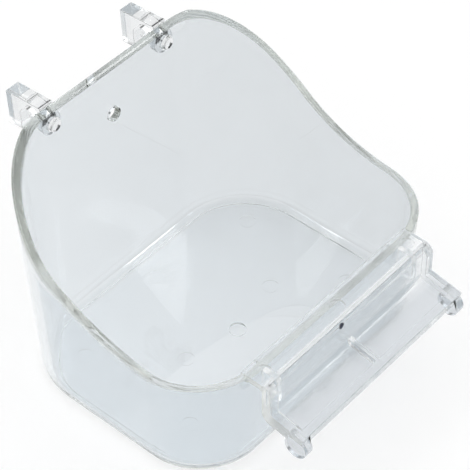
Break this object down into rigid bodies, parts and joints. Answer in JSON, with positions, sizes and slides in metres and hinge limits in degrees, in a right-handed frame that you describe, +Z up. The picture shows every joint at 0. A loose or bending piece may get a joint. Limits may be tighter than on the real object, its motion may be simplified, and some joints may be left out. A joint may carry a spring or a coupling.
{
  "type": "cage bird bath",
  "caption": "Clear moulded hanging bath for a bird cage: deep tub with a tall back and low front, swivelling wire hooks behind, and a clip-on perch ledge in front.",
  "frame": {"origin": "under the middle of the tub's flat foot, on the surface it stands on", "axes": "+Z up, +Y out of the tall back wall towards the cage wires, +X to the right when facing the back wall from the front"},
  "size_m": [0.1274, 0.138, 0.0918],
  "materials": {
    "clear_tub": "clear moulded styrene, polished",
    "clear_hook": "clear moulded styrene, polished",
    "clear_ledge": "clear moulded styrene, polished"
  },
  "bodies": {
    "tub": {"tub": "clear_tub"},
    "hook_left": {"hook_left": "clear_hook"},
    "hook_right": {"hook_right": "clear_hook"},
    "front_ledge": {"front_ledge": "clear_ledge"}
  },
  "joints": [
    {"name": "hook_left_swivel", "type": "hinge", "parent": "tub", "child": "hook_left", "pos_m": [-0.0272, 0.05035, 0.0848], "axis": [0, 0.999, -0.0454], "continuous": true},
    {"name": "hook_right_swivel", "type": "hinge", "parent": "tub", "child": "hook_right", "pos_m": [0.0272, 0.05035, 0.0848], "axis": [0, 0.999, -0.0454], "continuous": true},
    {"name": "ledge_lift", "type": "slide", "parent": "tub", "child": "front_ledge", "axis": [0, -0.0454, 0.999], "range_m": [0, 0.02]}
  ]
}
